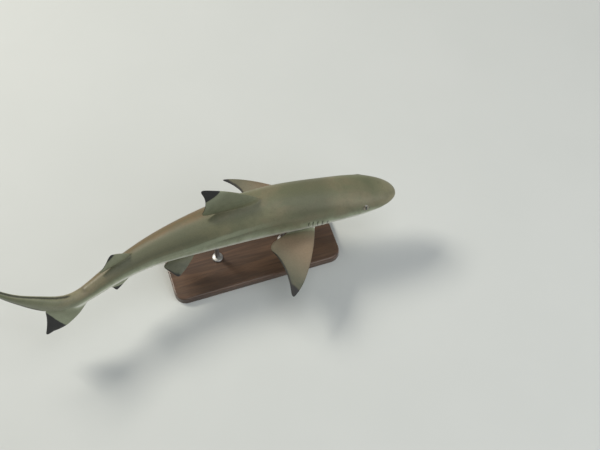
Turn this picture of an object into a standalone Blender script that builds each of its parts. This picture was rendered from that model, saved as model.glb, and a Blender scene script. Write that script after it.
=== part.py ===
"""A young blacktip reef shark, 0.75 m long, as a still life-size model on a plain display stand.

The shark swims level, with its body in a slow S-bend. +X is towards the head, +Z is up, and the origin is the
middle of the stand's underside. Places on the animal are shares of its total length: a station is measured back
from the snout tip along the bent centreline, and a section is taken square to that line. Each piece of flesh is a
closed solid, and a gap of 0.3 mm parts it from its neighbours.
"""

import functools
import math

import bmesh
import bpy
import numpy as np
from mathutils import Matrix, Vector

# ---------------------------------------------------------------- driving sizes
TOTAL_LENGTH = 0.75
AXIS_HEIGHT = 0.122  # of the centreline above the floor
GAP = 0.0003  # between neighbouring pieces

# The centreline's heading, in degrees to the left of +X, at stations from snout to tail tip.
HEADING_STATIONS = (0.00, 0.12, 0.25, 0.40, 0.55, 0.68, 0.78, 0.88, 1.00)
HEADINGS = (-11.1, -5.7, -4.8, 2.6, 9.5, 21.8, 16.5, -11.8, -39.8)
BALANCE_STATION, BALANCE_SHIFT = 0.345, -0.007  # what stands over the origin, and how far right of it
TAIL_ROLL, ROLL_FROM, ROLL_TO = 8.0, 0.45, 0.78  # the tail's lean to the left, in degrees

# Body sections in percent of the total length: half width, back and belly, from the centreline.
STATIONS = (0.00, 0.05, 0.10, 0.15, 0.22, 0.31, 0.40, 0.48, 0.56, 0.64, 0.70, 0.745, 0.79, 0.84, 0.90, 0.95, 1.00)
HALF_WIDTHS = (5.0, 5.0, 5.05, 5.15, 5.35, 5.25, 4.85, 4.2, 3.3, 2.4, 1.85, 1.5, 1.15, 0.78, 0.5, 0.34, 0.14)
BACKS = (6.1, 6.1, 6.1, 6.1, 6.1, 6.1, 5.6, 4.75, 3.75, 2.95, 2.45, 2.05, 2.8, 5.8, 8.05, 10.0, 11.4)
BELLY_STATIONS = (0.00, 0.04, 0.08, 0.12, 0.17, 0.22, 0.31, 0.40, 0.48, 0.56, 0.64, 0.70, 0.745)
BELLIES = (-2.4, -2.75, -3.2, -3.8, -4.6, -5.1, -5.5, -5.3, -4.55, -3.5, -2.75, -2.3, -2.05)
SNOUT_TIP = -1.2  # the tip's height, in percent
NOSE_WIDTH, NOSE_BACK, NOSE_BELLY = 0.14, 0.31, 0.05  # where the snout's rounding ends

# The web of the upper tail lobe hangs to this line, in percent, with the fork and the notch as its corners.
WEB_STATIONS = (0.745, 0.775, 0.81, 0.845, 0.89, 0.932, 0.936, 0.944, 0.972, 1.00)
WEB_EDGE = (-2.05, -1.75, -0.8, 0.95, 4.4, 7.0, 7.15, 6.5, 8.2, 11.0)

# Fins, in percent: station of the base's front, base length, tip and free rear corner as (back, out) from there,
# the bulge of the front margin, the hollow of the rear margin, the level where the tip's rounding starts, from 0 at
# the base to 1 at the tip, and the thickness at the base.
FIRST_DORSAL = dict(
    at=31.2, base=10.2, tip=(13.8, 11.4), corner=(14.1, 0.8), bulge=1.0, hollow=2.0, blunt=0.86, thick=1.45
)
SECOND_DORSAL = dict(
    at=62.0, base=5.0, tip=(4.9, 4.1), corner=(8.9, 0.45), bulge=0.45, hollow=0.75, blunt=0.86, thick=0.8
)
ANAL = dict(at=61.6, base=5.2, tip=(6.6, 3.7), corner=(8.8, 0.5), bulge=0.5, hollow=1.2, blunt=0.86, thick=0.75)
PECTORALS = {  # the left one is swept back, the right one is spread
    "left": dict(
        at=19.9, base=5.8, tip=(18.3, 8.2), corner=(13.2, 1.6), bulge=1.5, hollow=1.15, blunt=0.94, thick=1.3
    ),
    "right": dict(
        at=19.9, base=5.8, tip=(9.2, 16.6), corner=(11.8, 2.8), bulge=2.1, hollow=2.05, blunt=0.91, thick=1.3
    ),
}
PELVIC = dict(at=48.0, base=4.9, tip=(6.0, 4.5), corner=(8.6, 0.85), bulge=0.5, hollow=0.2, blunt=0.9, thick=0.75)
LOWER_LOBE = dict(
    at=74.3, base=9.7, tip=(11.7, 8.75), corner=(9.9, 0.35), bulge=0.8, hollow=0.45, blunt=0.86, thick=1.0
)
FIN_EDGE = 0.0006  # thickness of a fin's rear margin
CORNER_ROUNDING = 0.45  # of the way from the free corner to the base, and as much again along the rear margin
FIN_ROOT_DEPTH = 1.6  # how far a fin's stub runs into the body before it is cut, in percent

# Paired fins: ring angle of the base's front and rear, and the droop at base and tip.
PECTORAL_RING, PELVIC_RING = (-40.0, -47.0), (-62.0, -66.0)
PECTORAL_DROOPS = {"left": (-14.0, -6.0), "right": (-4.0, 8.0)}
PELVIC_DROOP = (20.0, 30.0)

EYE_STATION, EYE_RING = 0.079, 14.0
EYE_SEMI_AXES = (0.0092, 0.0082, 0.0066)  # along the head, up, and outwards
EYE_SUNK = 0.0046  # of the eye's middle under the skin

GILL_STATIONS = (0.168, 0.180, 0.191, 0.202, 0.212)
GILL_HALF_HEIGHTS = (1.25, 1.4, 1.45, 1.35, 1.1)  # in percent
GILL_MIDDLE, GILL_RISE = -1.55, 1.0  # height of the slits' middles, and how much the last is above the first
GILL_WIDTH, GILL_DEPTH = 0.0012, 0.0022

MOUTH_FRONT, MOUTH_CORNER, MOUTH_HALF_WIDTH = 0.060, 0.104, 0.0385  # an arch across the underside
MOUTH_GAP, MOUTH_DEPTH = 0.0014, 0.0035

BASE_LENGTH, BASE_WIDTH, BASE_HEIGHT = 0.300, 0.116, 0.014
BASE_CORNER, BASE_BEVEL = 0.020, 0.0025
ROD_STATIONS = (0.265, 0.425)
ROD_RADIUS, ROD_FOOT_RADIUS, ROD_FOOT_HEIGHT = 0.0040, 0.0095, 0.0035

# ---------------------------------------------------------------- how finely the solids are faceted
RING_SIDES, TAIL_SIDES = 30, 20
HEAD_END, TRUNK_END, STALK_END = 0.222, 0.580, 0.741
HEAD_ROWS, TRUNK_ROWS, STALK_ROWS, TAIL_ROWS = 20, 18, 9, 22
FIN_OUTER_LEVELS, FIN_TIP_SHARES = 6, (0.35, 0.7, 0.93)
CHORD_SHARES = (0.0, 0.025, 0.12, 0.32, 0.62, 1.0)

PERCENT = TOTAL_LENGTH / 100


def natural_spline(xs, ys):
    """The smoothest curve through the points, as a function of x."""
    xs, ys = np.array(xs, float), np.array(ys, float)
    step, rise = np.diff(xs), np.diff(ys) / np.diff(xs)
    system = np.eye(len(xs))
    bends = np.zeros(len(xs))
    for i in range(1, len(xs) - 1):
        system[i, i - 1 : i + 2] = step[i - 1], 2 * (step[i - 1] + step[i]), step[i]
        bends[i] = 6 * (rise[i] - rise[i - 1])
    second = np.linalg.solve(system, bends)

    def value(x):
        i = np.clip(np.searchsorted(xs, x) - 1, 0, len(xs) - 2)
        a, b, h = xs[i + 1] - x, x - xs[i], step[i]
        cubic = (second[i] * a**3 + second[i + 1] * b**3) / (6 * h)
        return cubic + (ys[i] / h - second[i] * h / 6) * a + (ys[i + 1] / h - second[i + 1] * h / 6) * b

    return value


def smooth_step(x, low, high):
    t = min(max((x - low) / (high - low), 0.0), 1.0)
    return t * t * (3 - 2 * t)


def nose(station, end, power):
    """How far the snout has opened out at a station, from 0 at its tip to 1 at end."""
    left = 1 - min(station / end, 1.0)
    return math.sqrt(1 - left**power)


half_width_curve = natural_spline(STATIONS, HALF_WIDTHS)
back_curve = natural_spline(STATIONS, BACKS)
belly_curve = natural_spline(BELLY_STATIONS, BELLIES)
heading_curve = natural_spline(HEADING_STATIONS, HEADINGS)


def centreline():
    """The bent centreline as fine steps: stations, places on the floor plan and headings in radians."""
    stations = np.linspace(0, 1, 2001)
    headings = np.radians(heading_curve(stations))
    steps = -TOTAL_LENGTH * np.stack([np.cos(headings), np.sin(headings)], 1)
    middles = (steps[1:] + steps[:-1]) / 2 * (stations[1] - stations[0])
    places = np.concatenate([np.zeros((1, 2)), np.cumsum(middles, axis=0)])
    balance = [np.interp(BALANCE_STATION, stations, places[:, k]) for k in (0, 1)]
    places -= balance
    places[:, 1] -= BALANCE_SHIFT
    return stations, places, headings


CENTRELINE = centreline()


@functools.lru_cache(maxsize=None)
def frame(station):
    """The section's middle, and its forward, left and up directions."""
    stations, places, headings = CENTRELINE
    x, y, heading = (np.interp(station, stations, v) for v in (places[:, 0], places[:, 1], headings))
    roll = math.radians(TAIL_ROLL) * smooth_step(station, ROLL_FROM, ROLL_TO)
    forward = Vector((math.cos(heading), math.sin(heading), 0))
    flat_left = Vector((-math.sin(heading), math.cos(heading), 0))
    left = flat_left * math.cos(roll) - Vector((0, 0, math.sin(roll)))
    up = flat_left * math.sin(roll) + Vector((0, 0, math.cos(roll)))
    return Vector((x, y, AXIS_HEIGHT)), forward, left, up


@functools.lru_cache(maxsize=None)
def back_and_belly(station):
    """Heights of the section's top and bottom, in percent."""
    back = SNOUT_TIP + (back_curve(station) - SNOUT_TIP) * nose(station, NOSE_BACK, 1.7)
    if station > WEB_STATIONS[0]:
        belly = np.interp(station, WEB_STATIONS, WEB_EDGE)
    else:
        belly = SNOUT_TIP + (belly_curve(station) - SNOUT_TIP) * nose(station, NOSE_BELLY, 2.0)
    return back, belly


@functools.lru_cache(maxsize=None)
def half_width_at(station):
    """Half the section's width, in percent."""
    return half_width_curve(station) * nose(station, NOSE_WIDTH, 2.3)


def section(station, ring):
    """A point of the section at a ring angle in radians, 0 on the left and a quarter turn on the back: (left, up)."""
    back, belly = back_and_belly(station)
    half_width = half_width_at(station)
    web = smooth_step(station, 0.745, 0.86)  # the tail's sections are blades, thick above and thin below
    lean = -0.10 * (1 - smooth_step(station, 0.0, 0.5)) + 0.86 * web
    full = 0.16 * (1 - web)
    across = math.cos(ring) * (1 + lean * math.sin(ring) + full * math.sin(ring) ** 2)
    left = half_width * across * PERCENT
    left += math.copysign(FIN_EDGE / 2 * min(1.0, abs(math.cos(ring)) * 3), math.cos(ring)) * web
    return left, ((back + belly) / 2 + (back - belly) / 2 * math.sin(ring)) * PERCENT


def body_point(station, ring, swell=0.0):
    """A point on the skin, moved outwards by swell."""
    left, up = section(station, ring)
    middle, _, left_way, up_way = frame(station)
    left += swell * math.cos(ring)
    up += swell * math.sin(ring)
    return middle + left_way * left + up_way * up


def skin_normal(station, ring):
    step = 1e-3
    along = body_point(station - step, ring) - body_point(station + step, ring)
    round_ring = body_point(station, ring + step) - body_point(station, ring - step)
    return round_ring.cross(along).normalized()


# ---------------------------------------------------------------- meshes
def add_object(name, mesh_builder, material, smooth_under=40.0):
    """An object from a filled bmesh, with its faces turned outwards."""
    bmesh.ops.recalc_face_normals(mesh_builder, faces=mesh_builder.faces)
    if mesh_builder.calc_volume(signed=True) < 0:
        bmesh.ops.reverse_faces(mesh_builder, faces=mesh_builder.faces)
    mesh = bpy.data.meshes.new(name)
    mesh_builder.to_mesh(mesh)
    mesh_builder.free()
    mesh.shade_smooth()
    mesh.set_sharp_from_angle(angle=math.radians(smooth_under))
    mesh.materials.append(material)
    obj = bpy.data.objects.new(name, mesh)
    bpy.context.scene.collection.objects.link(obj)
    return obj


def make_helper(obj):
    """Turns an object into a cutter that isn't part of the model."""
    obj.hide_render = True
    obj.display_type = "WIRE"
    return obj


def boolean(obj, other, operation):
    modifier = obj.modifiers.new(operation.title(), "BOOLEAN")
    modifier.operation = operation
    modifier.solver = "EXACT"
    modifier.object = other


def loft(rings):
    """A closed bmesh through rings of points. A ring of one point is a pole, and any other end ring is capped."""
    shape = bmesh.new()
    loops = [[shape.verts.new(point) for point in ring] for ring in rings]
    for first, second in zip(loops[:-1], loops[1:]):
        count = max(len(first), len(second))
        for i in range(count):
            j = (i + 1) % count
            if len(first) == 1:
                shape.faces.new((first[0], second[j], second[i]))
            elif len(second) == 1:
                shape.faces.new((first[i], first[j], second[0]))
            else:
                shape.faces.new((first[i], first[j], second[j], second[i]))
    for end in (loops[0], loops[-1]):
        if len(end) > 1:
            shape.faces.new(end)
    return shape


def ring_at(station, sides, swell=0.0):
    return [body_point(station, 2 * math.pi * i / sides, swell) for i in range(sides)]


def rows(start, end, count, crowd=1.0):
    """Stations from start to end, closer together near start if crowd is over 1."""
    return [start + (end - start) * (i / count) ** crowd for i in range(count + 1)]


HEAD_STATIONS = rows(0.0, HEAD_END, HEAD_ROWS, 1.6)[1:]
TRUNK_STATIONS = rows(HEAD_END, TRUNK_END, TRUNK_ROWS)
STALK_STATIONS = rows(TRUNK_END, STALK_END, STALK_ROWS)
TAIL_STATIONS = sorted({*rows(STALK_END, 0.995, TAIL_ROWS), *WEB_STATIONS[1:-1]})
HALF_GAP_STATION = GAP / 2 / TOTAL_LENGTH


def trimmed(stations, at_start=True, at_end=True):
    """The stations with the end ones moved in by half a gap."""
    moved = list(stations)
    moved[0] += HALF_GAP_STATION * at_start
    moved[-1] -= HALF_GAP_STATION * at_end
    return moved


def snout_tip(swell=0.0):
    middle, forward, _, up = frame(0.0)
    return [middle + up * SNOUT_TIP * PERCENT + forward * swell]


def make_cutter():
    """The whole body, swollen by a gap: what fins, rods and eyes are trimmed by."""
    stations = [*HEAD_STATIONS, *TRUNK_STATIONS[1:], *STALK_STATIONS[1:], 0.76]
    rings = [snout_tip(GAP), *[ring_at(s, RING_SIDES, GAP) for s in stations]]
    return make_helper(add_object("body_cutter", loft(rings), bpy.data.materials["skin"]))


def make_head():
    rings = [snout_tip(), *[ring_at(s, RING_SIDES) for s in trimmed(HEAD_STATIONS, at_start=False)]]
    return add_object("head", loft(rings), bpy.data.materials["skin"])


def make_trunk():
    rings = [ring_at(s, RING_SIDES) for s in trimmed(TRUNK_STATIONS)]
    return add_object("trunk", loft(rings), bpy.data.materials["skin"])


def make_tail_stalk():
    rings = [ring_at(s, RING_SIDES) for s in trimmed(STALK_STATIONS)]
    return add_object("tail_stalk", loft(rings), bpy.data.materials["skin"])


# ---------------------------------------------------------------- fins
def bezier(points, t):
    """A point of the cubic curve through four control points."""
    a, b, c, d = (np.array(p, float) for p in points)
    u = 1 - t
    return a * u**3 + 3 * b * u * u * t + 3 * c * u * t * t + d * t**3


def corner_level(fin):
    """The level t of the free corner, and of the ends of its rounding."""
    inner = math.dist((fin["base"], 0), fin["corner"])
    level = inner / (inner + math.dist(fin["corner"], fin["tip"]))
    return level * (1 - CORNER_ROUNDING), level, level * (1 + CORNER_ROUNDING)


def sharp_rear(fin, t):
    """The rear end of a fin's section: up the inner margin to the free corner, and then along the rear margin."""
    tip, corner = np.array(fin["tip"], float), np.array(fin["corner"], float)
    level = corner_level(fin)[1]
    if t <= level:
        return np.array([fin["base"], 0.0]) * (1 - t / level) + corner * (t / level)
    span = tip - corner
    inward = np.array([-span[1], span[0]]) / np.hypot(*span) * fin["hollow"]
    return bezier((corner, corner + span * 0.25 + inward, corner + span * 0.68 + inward, tip), (t - level) / (1 - level))


def margins(fin, t):
    """The front and rear ends of a fin's section, as (back, out) in percent, for t from 0 at the base to 1 at the tip."""
    if t > fin["blunt"]:
        return tip_margins(fin, (t - fin["blunt"]) / (1 - fin["blunt"]) / 2)
    tip = np.array(fin["tip"], float)
    outward = np.array([-tip[1], tip[0]]) / np.hypot(*tip) * fin["bulge"]
    front = bezier(((0, 0), tip * 0.34 + outward, tip * 0.80 + outward * 1.25, tip), t)
    low, middle, high = corner_level(fin)
    if not low < t < high:
        return front, sharp_rear(fin, t)
    u = (t - low) / (high - low)
    ends = sharp_rear(fin, low) * (1 - u) ** 2 + sharp_rear(fin, high) * u**2
    return front, ends + sharp_rear(fin, middle) * 2 * u * (1 - u)


def tip_margins(fin, u):
    """Both margins where they round the fin's tip, for u from 0 where the rounding starts to a half at the tip."""
    before, (front, rear) = margins(fin, fin["blunt"] - 0.02), margins(fin, fin["blunt"])
    ways = np.stack([front - before[0], before[1] - rear], 1)
    meeting = front + ways[:, 0] * np.linalg.solve(ways, rear - front)[0]
    return tuple(front * (1 - v) ** 2 + meeting * 2 * v * (1 - v) + rear * v * v for v in (u, 1 - u))


def foil(share):
    """Half thickness of a fin's section at a share of its chord, 1 at the thickest."""
    thick = 0.2969 * math.sqrt(share) - 0.126 * share - 0.3516 * share**2 + 0.2843 * share**3 - 0.1036 * share**4
    return thick / 0.10


def fin_levels(fin):
    low, middle, high = corner_level(fin)
    blunt = fin["blunt"]
    outer = [high + (blunt - high) * (i / FIN_OUTER_LEVELS) ** 0.85 for i in range(1, FIN_OUTER_LEVELS + 1)]
    tip = [blunt + (1 - blunt) * share for share in FIN_TIP_SHARES]
    return [0.0, low, (low + middle) / 2, middle, (middle + high) / 2, high, *outer, *tip]


def fin_rings(fin, place):
    """Rings of points round a fin, from a stub inside the body to the tip. place(back, out, thick) puts them in space."""
    rings = []
    for t in [None, *fin_levels(fin)]:
        front, rear = margins(fin, t or 0.0)
        if t is None:
            front, rear = front - [0, FIN_ROOT_DEPTH], rear - [0, FIN_ROOT_DEPTH]
        thick = fin["thick"] / 2 * PERCENT * (1 - (t or 0.0)) ** 0.8
        upper, lower = [], []
        for share in CHORD_SHARES:
            back, out = (front + (rear - front) * share) * PERCENT
            half = max(thick * foil(share), FIN_EDGE / 2)
            if share == 0.0:
                upper.append(place(back, out, 0.0))
                continue
            upper.append(place(back, out, half))
            lower.append(place(back, out, -half))
        rings.append(upper + lower[::-1])
    return rings


def base_point(fin, ring_front, ring_rear):
    """The place on the skin of a point of the fin's base line. Behind the base the line runs on straight."""

    def point(back):
        share = min(max(back / (fin["base"] * PERCENT), 0.0), 1.0)
        ring = math.radians(ring_front + (ring_rear - ring_front) * share)
        station = fin["at"] / 100 + share * fin["base"] / 100
        place = body_point(station, ring)
        forward = frame(station)[1]
        return place - forward * (back - share * fin["base"] * PERCENT), station

    return point


def median_placer(fin, side):
    """Places a fin on the back (side 1) or the belly (side -1)."""
    line = base_point(fin, 90 * side, 90 * side)

    def place(back, out, thick):
        point, station = line(back)
        _, _, left, up = frame(station)
        return point + up * side * out + left * thick

    return place


def paired_placer(fin, side, rings, droops):
    """Places a fin on the left (side 1) or the right (side -1), drooping more and more towards its tip."""
    mirrored = (lambda ring: ring) if side > 0 else (lambda ring: 180 - ring)
    line = base_point(fin, mirrored(rings[0]), mirrored(rings[1]))
    span = fin["tip"][1] * PERCENT

    def place(back, out, thick):
        droop = math.radians(droops[0] + (droops[1] - droops[0]) * max(out / span, 0.0) / 2)
        point, station = line(back)
        _, _, left, up = frame(station)
        away = left * side
        point += (away * math.cos(droop) - up * math.sin(droop)) * out
        return point + (up * math.cos(droop) + away * math.sin(droop)) * thick

    return place


def make_fin(name, fin, place, cutter):
    obj = add_object(name, loft(fin_rings(fin, place)), bpy.data.materials["fin"])
    boolean(obj, cutter, "DIFFERENCE")
    return obj


def make_fins(cutter):
    make_fin("first_dorsal_fin", FIRST_DORSAL, median_placer(FIRST_DORSAL, 1), cutter)
    make_fin("second_dorsal_fin", SECOND_DORSAL, median_placer(SECOND_DORSAL, 1), cutter)
    make_fin("anal_fin", ANAL, median_placer(ANAL, -1), cutter)
    for word, side in (("left", 1), ("right", -1)):
        pectoral, droops = PECTORALS[word], PECTORAL_DROOPS[word]
        make_fin("pectoral_fin_" + word, pectoral, paired_placer(pectoral, side, PECTORAL_RING, droops), cutter)
        make_fin("pelvic_fin_" + word, PELVIC, paired_placer(PELVIC, side, PELVIC_RING, PELVIC_DROOP), cutter)


# ---------------------------------------------------------------- tail fin
def make_tail_fin():
    """The tail fin is modelled whole, and a thin slanting cut from its root to the fork parts the two lobes."""
    rings = [ring_at(s, TAIL_SIDES) for s in trimmed(TAIL_STATIONS, at_end=False)]
    material = bpy.data.materials["fin"]
    lobe = make_helper(add_object("lobe_helper", loft(fin_rings(LOWER_LOBE, median_placer(LOWER_LOBE, -1))), material))
    upper_side, lower_side = lobe_cutters(material)
    upper = add_object("caudal_upper_lobe", loft(rings), material)
    boolean(upper, lobe, "UNION")
    boolean(upper, lower_side, "DIFFERENCE")
    lower = add_object("caudal_lower_lobe", loft(rings), material)
    boolean(lower, lobe, "UNION")
    boolean(lower, upper_side, "DIFFERENCE")


def lobe_cutters(material):
    """Two big blocks that share a slanting face, half a gap apart from it: the space above the cut and below it."""
    start_station, fork_station = STALK_END - 0.004, 0.8435
    start = body_point(start_station, -math.pi / 2)
    fork = body_point(fork_station, -math.pi / 2)
    along = (fork - start).normalized()
    across = frame((start_station + fork_station) / 2)[2]
    away = across.cross(along).normalized()
    if away.z > 0:
        away = -away
    blocks = []
    for name, way in (("above_cut", -away), ("below_cut", away)):
        shape = bmesh.new()
        bmesh.ops.create_cube(shape, size=1.0)
        turn = Matrix((along, across, way)).transposed().to_4x4()
        size = Matrix.Diagonal((0.8, 0.4, 0.3, 1))
        place = Matrix.Translation((start + fork) / 2 + way * (0.15 - GAP / 2)) @ turn @ size
        bmesh.ops.transform(shape, matrix=place, verts=shape.verts)
        blocks.append(make_helper(add_object(name, shape, material)))
    return blocks


# ---------------------------------------------------------------- eyes, gills and mouth
def eye_matrix(side):
    """Places a unit sphere as the eye, with its axes along the head, up, and outwards."""
    ring = math.radians(EYE_RING if side > 0 else 180 - EYE_RING)
    out = skin_normal(EYE_STATION, ring)
    forward = frame(EYE_STATION)[1]
    along = (forward - out * forward.dot(out)).normalized()
    up = out.cross(along) if side > 0 else along.cross(out)
    turn = Matrix((along, up, out)).transposed()
    centre = body_point(EYE_STATION, ring) - out * EYE_SUNK
    return centre, turn.to_4x4()


def make_eye(name, side, swell, material):
    centre, turn = eye_matrix(side)
    shape = bmesh.new()
    bmesh.ops.create_uvsphere(shape, u_segments=16, v_segments=9, radius=1.0)
    size = Matrix.Diagonal((*[axis + swell for axis in EYE_SEMI_AXES], 1))
    bmesh.ops.transform(shape, matrix=Matrix.Translation(centre) @ turn @ size, verts=shape.verts)
    return add_object(name, shape, material)


def make_eyes(head):
    for word, side in (("left", 1), ("right", -1)):
        make_eye("eye_" + word, side, 0.0, bpy.data.materials["eye"])
        socket = make_helper(make_eye("socket_" + word, side, GAP, bpy.data.materials["eye"]))
        boolean(head, socket, "DIFFERENCE")


def cut_line(head, name, places, width, depth):
    """Cuts a groove of that width and depth along places on the skin, each a (station, ring angle)."""
    points = [body_point(s, r) for s, r in places]
    normals = [skin_normal(s, r) for s, r in places]
    rings = []
    for i, (point, normal) in enumerate(zip(points, normals)):
        run = points[min(i + 1, len(points) - 1)] - points[max(i - 1, 0)]
        across = run.cross(normal).normalized() * width / 2
        high, low = normal * 0.004, normal * -depth
        rings.append([point + high + across, point + high - across, point + low - across, point + low + across])
    cutter = make_helper(add_object(name, loft(rings), bpy.data.materials["skin"]))
    boolean(head, cutter, "DIFFERENCE")


def ring_angle(station, height):
    """The ring angle on the left side at a height in percent."""
    back, belly = back_and_belly(station)
    return math.asin((height - (back + belly) / 2) / ((back - belly) / 2))


def make_gill_slits(head):
    for side, word in ((1, "left"), (-1, "right")):
        for number, (station, half) in enumerate(zip(GILL_STATIONS, GILL_HALF_HEIGHTS)):
            middle = GILL_MIDDLE + GILL_RISE * number / 4
            places = []
            for share in (-1.0, -0.5, 0.0, 0.5, 1.0):
                ring = ring_angle(station, middle + half * share)
                bowed = station + 0.0022 * (1 - share**2)
                places.append((bowed, ring if side > 0 else math.pi - ring))
            cut_line(head, f"gill_cutter_{word}_{number}", places, GILL_WIDTH, GILL_DEPTH)


def make_mouth(head):
    """The mouth is an arch, widest at its corners and foremost in the middle."""
    places = []
    for i in range(15):
        share = i / 7 - 1
        station = MOUTH_FRONT + (MOUTH_CORNER - MOUTH_FRONT) * abs(share) ** 2.2
        reach = min(share * MOUTH_HALF_WIDTH * 100 / half_width_at(station), 0.98)
        places.append((station, -math.pi / 2 + math.asin(max(reach, -0.98)) * 0.93))
    cut_line(head, "mouth_cutter", places, MOUTH_GAP, MOUTH_DEPTH)


# ---------------------------------------------------------------- stand
def make_stand_base():
    """A flat plate with round corners and a bevelled upper edge."""
    shape = bmesh.new()
    outline = []
    for turn in range(4):
        x = (BASE_LENGTH / 2 - BASE_CORNER) * (1, -1, -1, 1)[turn]
        y = (BASE_WIDTH / 2 - BASE_CORNER) * (1, 1, -1, -1)[turn]
        for i in range(7):
            angle = math.pi / 2 * (turn + i / 6)
            outline.append(shape.verts.new((x + BASE_CORNER * math.cos(angle), y + BASE_CORNER * math.sin(angle), 0)))
    floor = shape.faces.new(outline)
    raised = bmesh.ops.extrude_face_region(shape, geom=[floor])["geom"]
    corners = [v for v in raised if isinstance(v, bmesh.types.BMVert)]
    bmesh.ops.translate(shape, vec=(0, 0, BASE_HEIGHT), verts=corners)
    rim = [e for e in shape.edges if all(v.co.z > BASE_HEIGHT / 2 for v in e.verts)]
    bmesh.ops.bevel(shape, geom=rim, offset=BASE_BEVEL, segments=2, profile=0.5, affect="EDGES")
    add_object("stand_base", shape, bpy.data.materials["base"], smooth_under=30.0)


def make_rod(name, station, cutter):
    """A turned rod with a small foot, from the base's top up to the belly."""
    belly = body_point(station, -math.pi / 2)
    foot, top = BASE_HEIGHT + GAP, belly.z + 0.006
    profile = ((ROD_RADIUS, top), (ROD_RADIUS, foot + ROD_FOOT_HEIGHT + 0.001))
    profile += ((ROD_FOOT_RADIUS - 0.001, foot + ROD_FOOT_HEIGHT), (ROD_FOOT_RADIUS, foot + ROD_FOOT_HEIGHT - 0.001))
    profile += ((ROD_FOOT_RADIUS, foot),)
    rings = []
    for radius, height in profile:
        angles = [2 * math.pi * i / 20 for i in range(20)]
        rings.append([Vector((belly.x + radius * math.cos(a), belly.y + radius * math.sin(a), height)) for a in angles])
    obj = add_object(name, loft(rings), bpy.data.materials["rod"])
    boolean(obj, cutter, "DIFFERENCE")


# ---------------------------------------------------------------- materials and assembly
def make_material(name, colour, roughness, metallic=0.0):
    material = bpy.data.materials.new(name)
    material.use_nodes = True
    shader = material.node_tree.nodes["Principled BSDF"]
    shader.inputs["Base Color"].default_value = (*colour, 1.0)
    shader.inputs["Roughness"].default_value = roughness
    shader.inputs["Metallic"].default_value = metallic
    material.diffuse_color = (*colour, 1.0)


def clear_scene():
    for obj in list(bpy.data.objects):
        bpy.data.objects.remove(obj)


def main():
    clear_scene()
    make_material("skin", (0.27, 0.24, 0.16), 0.45)
    make_material("fin", (0.22, 0.20, 0.14), 0.45)
    make_material("eye", (0.03, 0.03, 0.025), 0.1)
    make_material("base", (0.06, 0.04, 0.03), 0.4)
    make_material("rod", (0.6, 0.6, 0.6), 0.3, 1.0)
    cutter = make_cutter()
    head = make_head()
    make_trunk()
    make_tail_stalk()
    make_tail_fin()
    make_fins(cutter)
    make_eyes(head)
    make_gill_slits(head)
    make_mouth(head)
    make_stand_base()
    for name, station in zip(("stand_rod_front", "stand_rod_rear"), ROD_STATIONS):
        make_rod(name, station, cutter)


main()
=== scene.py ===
import math

import bmesh
import bpy
import numpy as np
from mathutils import Matrix, Vector


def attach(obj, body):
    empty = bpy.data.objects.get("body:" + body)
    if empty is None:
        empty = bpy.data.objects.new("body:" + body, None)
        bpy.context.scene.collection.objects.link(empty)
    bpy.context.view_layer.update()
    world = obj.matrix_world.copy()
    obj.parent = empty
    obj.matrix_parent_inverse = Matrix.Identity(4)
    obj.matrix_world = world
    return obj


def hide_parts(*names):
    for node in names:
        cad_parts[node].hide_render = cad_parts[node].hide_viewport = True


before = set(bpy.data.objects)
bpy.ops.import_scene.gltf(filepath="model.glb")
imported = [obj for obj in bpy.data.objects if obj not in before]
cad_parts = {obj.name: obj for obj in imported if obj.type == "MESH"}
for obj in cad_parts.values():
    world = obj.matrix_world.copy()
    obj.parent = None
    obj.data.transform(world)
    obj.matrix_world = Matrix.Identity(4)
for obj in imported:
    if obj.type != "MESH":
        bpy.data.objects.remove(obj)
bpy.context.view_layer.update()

# ------------------------------ the animal's sizes
# A station is a share of the total length, measured back from the snout tip along the bent centreline.
# A ring angle runs round the section square to it: 0 on the left, a quarter turn on the back.
# Sizes in percent are percent of the total length.
TOTAL_LENGTH = 0.75
PERCENT = TOTAL_LENGTH / 100
MM = 1000  # in a metre
AXIS_HEIGHT = 0.122  # of the centreline above the floor
HEADING_STATIONS = (0.00, 0.12, 0.25, 0.40, 0.55, 0.68, 0.78, 0.88, 1.00)
HEADINGS = (-11.1, -5.7, -4.8, 2.6, 9.5, 21.8, 16.5, -11.8, -39.8)
BALANCE_STATION, BALANCE_SHIFT = 0.345, -0.007
TAIL_ROLL, ROLL_FROM, ROLL_TO = 8.0, 0.45, 0.78

TAIL_START = 0.745  # where the stalk ends and the tail's web begins
STATIONS = (
    0.00, 0.05, 0.10, 0.15, 0.22, 0.31, 0.40, 0.48, 0.56, 0.64, 0.70,
    TAIL_START, 0.79, 0.84, 0.90, 0.95, 1.00,
)
HALF_WIDTHS = (
    5.0, 5.0, 5.05, 5.15, 5.35, 5.25, 4.85, 4.2, 3.3, 2.4, 1.85, 1.5, 1.15, 0.78, 0.5, 0.34, 0.14,
)
BACKS = (6.1, 6.1, 6.1, 6.1, 6.1, 6.1, 5.6, 4.75, 3.75, 2.95, 2.45, 2.05, 2.8, 5.8, 8.05, 10.0, 11.4)
BELLY_STATIONS = (0.00, 0.04, 0.08, 0.12, 0.17, 0.22, 0.31, 0.40, 0.48, 0.56, 0.64, 0.70, TAIL_START)
BELLIES = (-2.4, -2.75, -3.2, -3.8, -4.6, -5.1, -5.5, -5.3, -4.55, -3.5, -2.75, -2.3, -2.05)
SNOUT_TIP = -1.2
NOSE_WIDTH, NOSE_BACK, NOSE_BELLY = 0.14, 0.31, 0.05
WEB_STATIONS = (TAIL_START, 0.775, 0.81, 0.845, 0.89, 0.932, 0.936, 0.944, 0.972, 1.00)
WEB_EDGE = (-2.05, -1.75, -0.8, 0.95, 4.4, 7.0, 7.15, 6.5, 8.2, 11.0)
TAIL_TIP_ROUNDING = 0.010  # of the length, over which the tail's tip closes

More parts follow.
